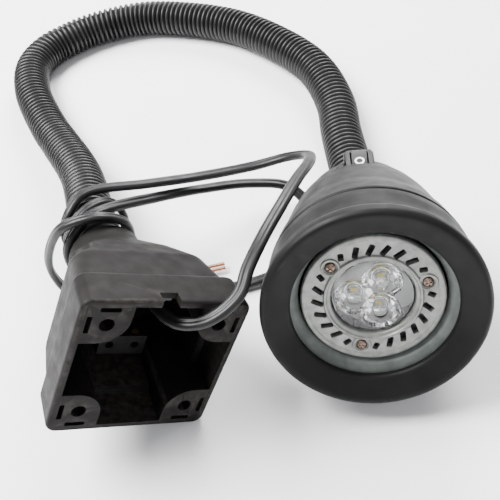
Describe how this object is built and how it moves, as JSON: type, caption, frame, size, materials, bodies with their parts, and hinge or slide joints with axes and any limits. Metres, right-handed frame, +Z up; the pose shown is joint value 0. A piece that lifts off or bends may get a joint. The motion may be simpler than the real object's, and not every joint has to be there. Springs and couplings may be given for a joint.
{
  "type": "gooseneck work lamp",
  "caption": "Work lamp with a ribbed flexible hose between a square screw-down base and a round hooded head with an LED spot bulb.",
  "frame": {"origin": "middle of the lamp's footprint as it lies on a table, at table height, cord left out", "axes": "+Y from the open faces of base and head towards the far end of the hose loop, +X from the base to the head, +Z up"},
  "size_m": [0.1886, 0.3101, 0.0838],
  "materials": {
    "black_plastic": "fine grained moulded plastic",
    "hose_black": "ribbed satin plastic sleeve over a steel coil",
    "cord_black": "glossy flexible PVC",
    "aluminium": "die-cast, bead-blasted",
    "zinc": "bright zinc plate",
    "brass": "machined",
    "screw_brown": "bronze passivated",
    "ceramic": "glazed steatite",
    "clear": "clear polycarbonate optic",
    "led_yellow": "phosphor",
    "board_white": "white solder mask",
    "recess_grey": "grey-green baked paint",
    "nylon": "black polyamide",
    "copper": "tinned copper strands"
  },
  "bodies": {
    "base": {"base_hose_ferrule": "zinc", "base_lock_nut": "brass", "base_lock_washer": "zinc", "base_shell": "black_plastic", "cord_clamp": "zinc", "cord_clamp_screw_1": "zinc", "cord_clamp_screw_2": "zinc", "cord_core_1": "copper", "cord_core_2": "copper", "cord_lead": "cord_black", "terminal_block": "nylon", "terminal_screw_1": "brass", "terminal_screw_2": "brass", "hose_length_1": "hose_black"},
    "hose_2": {"hose_length_2": "hose_black"},
    "hose_3": {"hose_length_3": "hose_black"},
    "hose_4": {"hose_length_4": "hose_black"},
    "hose_5": {"hose_length_5": "hose_black"},
    "hose_6": {"hose_length_6": "hose_black"},
    "hose_7": {"hose_length_7": "hose_black"},
    "head": {"hose_length_8": "hose_black", "rear_housing": "black_plastic", "seat_ring": "recess_grey", "head_hose_ferrule": "zinc", "head_lock_nut": "brass", "switch_body": "black_plastic", "lamp_socket": "ceramic", "socket_bracket": "zinc", "bracket_screw_1": "zinc", "bracket_screw_2": "zinc"},
    "hood": {"front_hood": "black_plastic"},
    "bulb": {"bulb_driver_cap": "board_white", "bulb_face": "aluminium", "bulb_heat_sink": "aluminium", "bulb_optic": "clear", "bulb_pin_1": "zinc", "bulb_pin_2": "zinc", "bulb_screw_1": "screw_brown", "bulb_screw_2": "screw_brown", "bulb_screw_3": "screw_brown", "led_1": "led_yellow", "led_2": "led_yellow", "led_3": "led_yellow", "led_board": "board_white"},
    "rocker": {"switch_rocker": "black_plastic"}
  },
  "joints": [
    {"name": "hose_bend_1", "type": "hinge", "parent": "base", "child": "hose_2", "pos_m": [-0.05633, 0.00747, 0.01875], "axis": [0, 0, 1], "range_deg": [0, 8]},
    {"name": "hose_bend_2", "type": "hinge", "parent": "hose_2", "child": "hose_3", "pos_m": [-0.07707, 0.06675, 0.01042], "axis": [0, 0, 1], "range_deg": [0, 12]},
    {"name": "hose_bend_3", "type": "hinge", "parent": "hose_3", "child": "hose_4", "pos_m": [-0.07647, 0.12757, 0.0101], "axis": [0, 0, 1], "range_deg": [0, 20]},
    {"name": "hose_bend_4", "type": "hinge", "parent": "hose_4", "child": "hose_5", "pos_m": [-0.01756, 0.1441, 0.0101], "axis": [0, 0, 1], "range_deg": [0, 20]},
    {"name": "hose_bend_5", "type": "hinge", "parent": "hose_5", "child": "hose_6", "pos_m": [0.03709, 0.11302, 0.0101], "axis": [0, 0, 1], "range_deg": [0, 20]},
    {"name": "hose_bend_6", "type": "hinge", "parent": "hose_6", "child": "hose_7", "pos_m": [0.07131, 0.06002, 0.0101], "axis": [0, 0, 1], "range_deg": [0, 20]},
    {"name": "hose_bend_7", "type": "hinge", "parent": "hose_7", "child": "head", "pos_m": [0.07413, -0.00269, 0.01095], "axis": [0, 0, 1], "range_deg": [0, 20]},
    {"name": "hood_twist", "type": "hinge", "parent": "head", "child": "hood", "pos_m": [0.05625, -0.13145, 0.04412], "axis": [-0.1593, -0.932, 0.3256], "range_deg": [0, 30]},
    {"name": "bulb_pull", "type": "slide", "parent": "head", "child": "bulb", "axis": [-0.1593, -0.932, 0.3256], "range_m": [0, 0.055]},
    {"name": "switch_rock", "type": "hinge", "parent": "head", "child": "rocker", "pos_m": [0.0679, -0.06871, 0.04974], "axis": [-0.9832, 0.1796, 0.033], "range_deg": [0, 14]}
  ]
}
